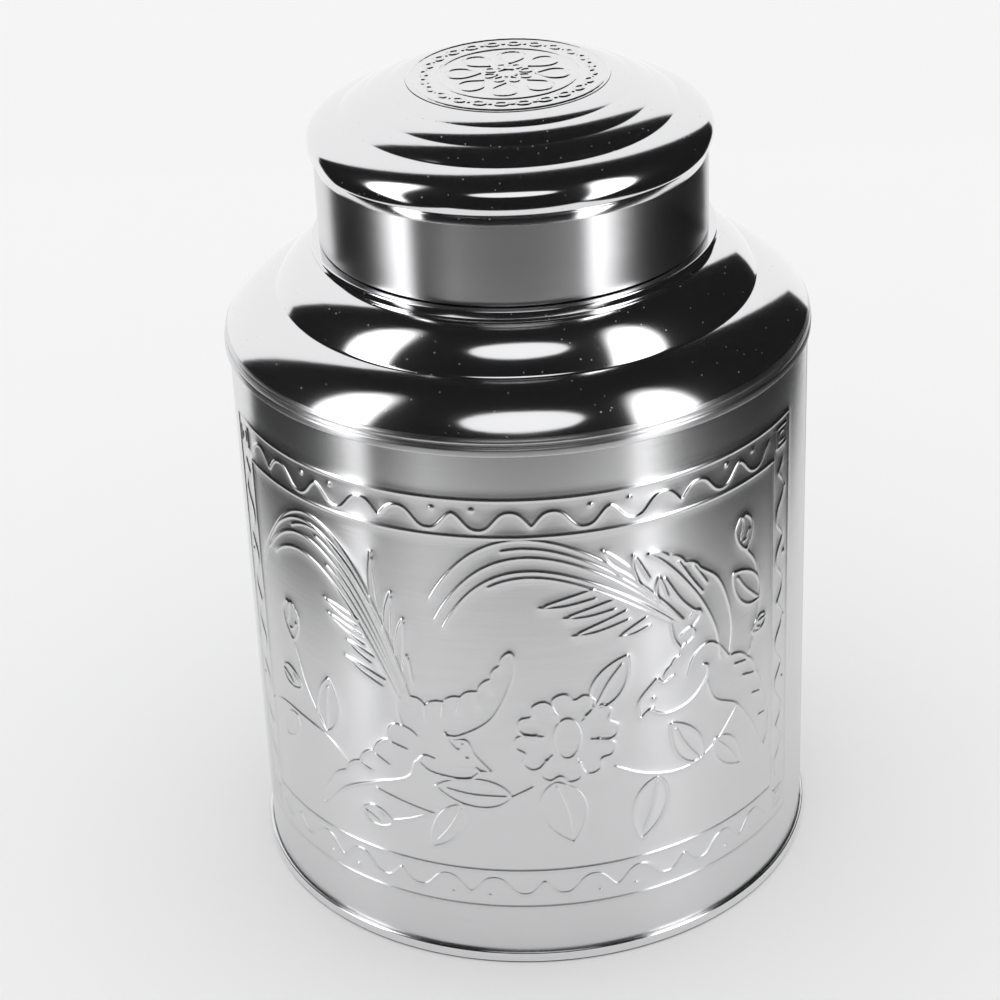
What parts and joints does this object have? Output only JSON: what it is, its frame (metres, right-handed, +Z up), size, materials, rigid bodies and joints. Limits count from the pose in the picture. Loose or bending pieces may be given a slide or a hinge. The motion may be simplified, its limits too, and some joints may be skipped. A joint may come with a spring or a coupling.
{
  "type": "tea caddy",
  "caption": "Round tinplate tea caddy with a rolled embossed wall, stepped shoulder, collar, domed pull-off lid and a plug-type inner lid.",
  "frame": {"origin": "centre of the foot, on the surface that the caddy stands on", "axes": "+Z up along the axis of the caddy; the middle of the front embossed panel faces -Y; the lap of the wall is on +X"},
  "size_m": [0.152, 0.152, 0.2185],
  "materials": {
    "wall_tin": "satin tinplate",
    "bright_tin": "bright polished tinplate",
    "plain_tin": "bright rolled tinplate",
    "knob_metal": "bright nickel plate"
  },
  "bodies": {
    "caddy": {"body_wall": "wall_tin", "bottom_plate": "plain_tin", "shoulder": "bright_tin", "collar": "plain_tin"},
    "inner_lid": {"inner_lid": "plain_tin", "inner_lid_knob": "knob_metal", "knob_rivet": "knob_metal"},
    "lid": {"lid": "bright_tin"}
  },
  "joints": [
    {"name": "inner_lid_lift", "type": "slide", "parent": "caddy", "child": "inner_lid", "axis": [0, 0, 1], "range_m": [0, 0.06]},
    {"name": "lid_lift", "type": "slide", "parent": "inner_lid", "child": "lid", "axis": [0, 0, 1], "range_m": [0, 0.09]}
  ]
}
